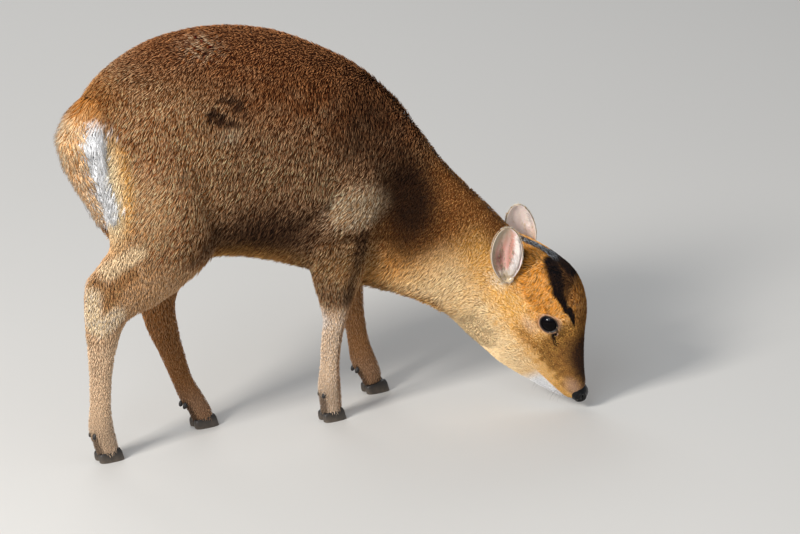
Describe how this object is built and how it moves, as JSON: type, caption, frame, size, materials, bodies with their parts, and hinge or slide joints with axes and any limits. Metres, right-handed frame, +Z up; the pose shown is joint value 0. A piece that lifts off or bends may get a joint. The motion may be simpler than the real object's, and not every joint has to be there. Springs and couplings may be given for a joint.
{
  "type": "muntjac",
  "caption": "Small short-legged deer without antlers, standing with an arched back and its head lowered to the ground to graze.",
  "frame": {"origin": "centre of the bounding box on the ground plane under the soles", "axes": "+X the way the body faces, +Y to the animal's left, +Z up"},
  "size_m": [0.6441, 0.256, 0.5084],
  "materials": {
    "coat_back": "dense short russet-brown fur, ticked darker and lighter",
    "coat_neck": "dense short fur, brown above and golden cream at the throat",
    "coat_head": "very short ginger fur with dark forehead bands and a pale jaw",
    "coat_leg": "short tan fur, greyer towards the hooves",
    "coat_tail": "longer orange hair with a white fringe and underside",
    "ear_skin": "thin pink skin with sparse pale hair",
    "hoof_horn": "smooth dark horn with a low sheen",
    "nose": "moist pebbled black skin",
    "eye": "wet glossy near-black eye"
  },
  "bodies": {
    "root": {"torso": "coat_back", "neck": "coat_neck", "head": "coat_head", "tail": "coat_tail", "hind_right_upper": "coat_leg", "hind_right_lower": "coat_leg", "hoof_hind_right_left": "hoof_horn", "hoof_hind_right_right": "hoof_horn", "hind_left_upper": "coat_leg", "hind_left_lower": "coat_leg", "hoof_hind_left_left": "hoof_horn", "hoof_hind_left_right": "hoof_horn", "fore_right_upper": "coat_leg", "fore_right_lower": "coat_leg", "hoof_fore_right_left": "hoof_horn", "hoof_fore_right_right": "hoof_horn", "fore_left_upper": "coat_leg", "fore_left_lower": "coat_leg", "hoof_fore_left_left": "hoof_horn", "hoof_fore_left_right": "hoof_horn", "ear_left": "ear_skin", "ear_right": "ear_skin", "eye_left": "eye", "eye_right": "eye", "nose_pad": "nose"}
  },
  "joints": []
}
